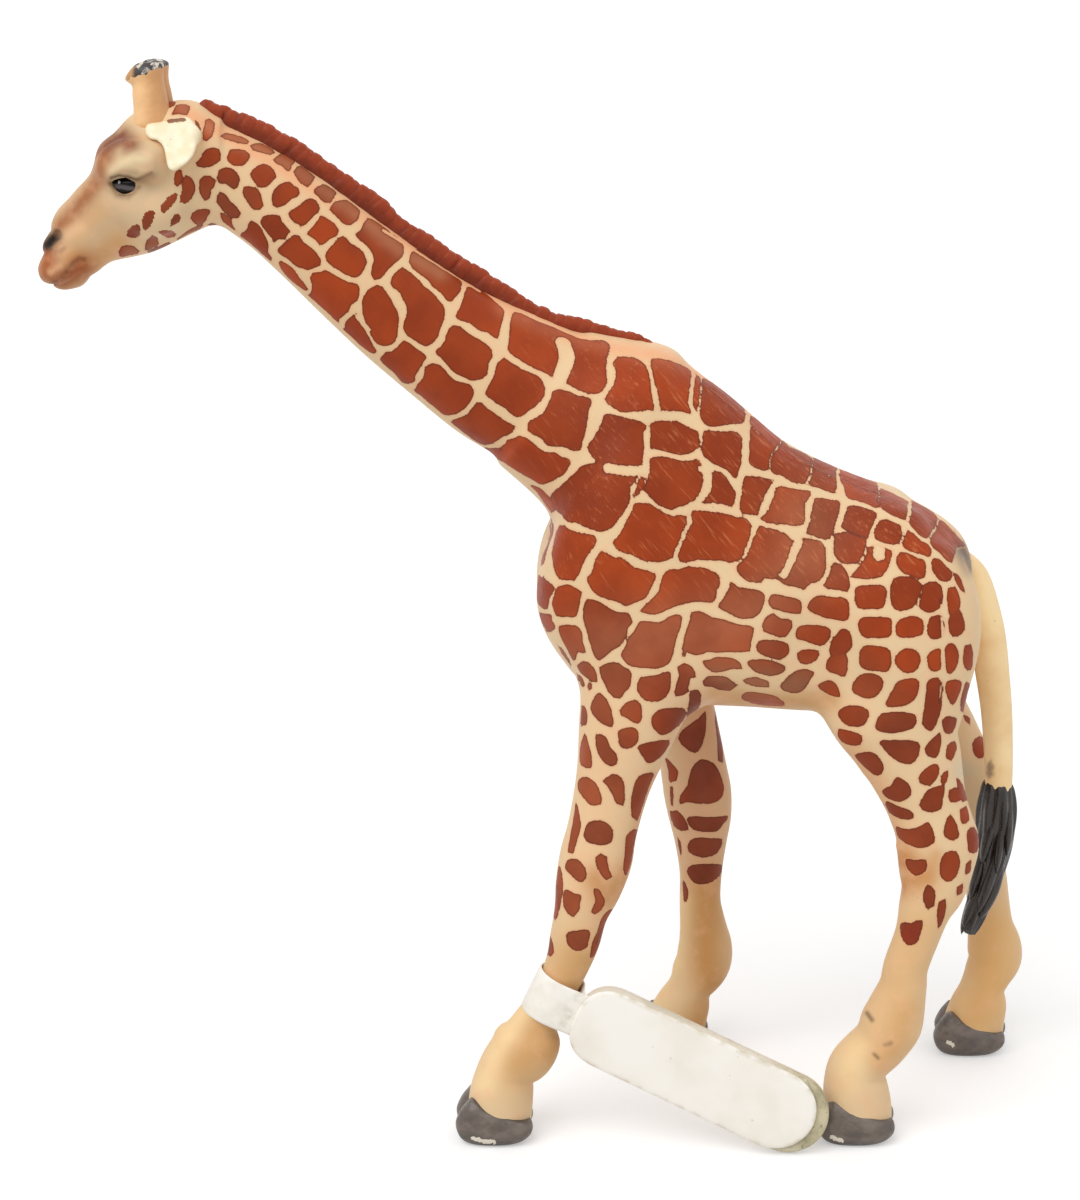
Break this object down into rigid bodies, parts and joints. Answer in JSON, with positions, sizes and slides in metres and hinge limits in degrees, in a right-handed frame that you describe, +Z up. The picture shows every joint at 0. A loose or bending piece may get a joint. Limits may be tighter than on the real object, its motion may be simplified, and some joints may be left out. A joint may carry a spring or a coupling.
{
  "type": "toy giraffe figure",
  "caption": "Walking toy giraffe figure with plug-in neck, head, legs, tail and mane, and a bare hang tag that swings on the left foreleg.",
  "frame": {"origin": "on the ground, in the middle of the whole figure's footprint box", "axes": "+Z up; the nose points to -X; the animal's left side, with the tag, faces -Y"},
  "size_m": [0.1546, 0.0448, 0.1635],
  "materials": {
    "coat": "satin paint, brown patches outlined on cream",
    "face": "satin airbrushed paint",
    "ear": "satin",
    "horn": "satin paint, worn dark at the tips",
    "mane": "satin",
    "leg": "satin airbrushed paint",
    "hoof": "half gloss paint, chipped at the toes",
    "tail": "satin",
    "tuft": "half gloss",
    "tag_face": "smooth film, bare",
    "tag_edge": "foam, soiled"
  },
  "bodies": {
    "figure": {"torso": "coat", "neck": "coat", "head": "face", "left_ear": "ear", "right_ear": "ear", "left_horn": "horn", "right_horn": "horn", "mane": "mane", "left_foreleg": "leg", "right_foreleg": "leg", "left_hind_leg": "leg", "right_hind_leg": "leg", "left_front_hoof": "hoof", "right_front_hoof": "hoof", "left_hind_hoof": "hoof", "right_hind_hoof": "hoof", "tail": "tail", "tail_tuft": "tuft"},
    "tag": {"tag_strip": "tag_face", "tag_backing": "tag_edge"}
  },
  "joints": [
    {"name": "tag_swing", "type": "hinge", "parent": "figure", "child": "tag", "pos_m": [-0.00099, -0.01372, 0.02317], "axis": [-0.4186, 0, -0.9082], "range_deg": [0, 140]}
  ]
}
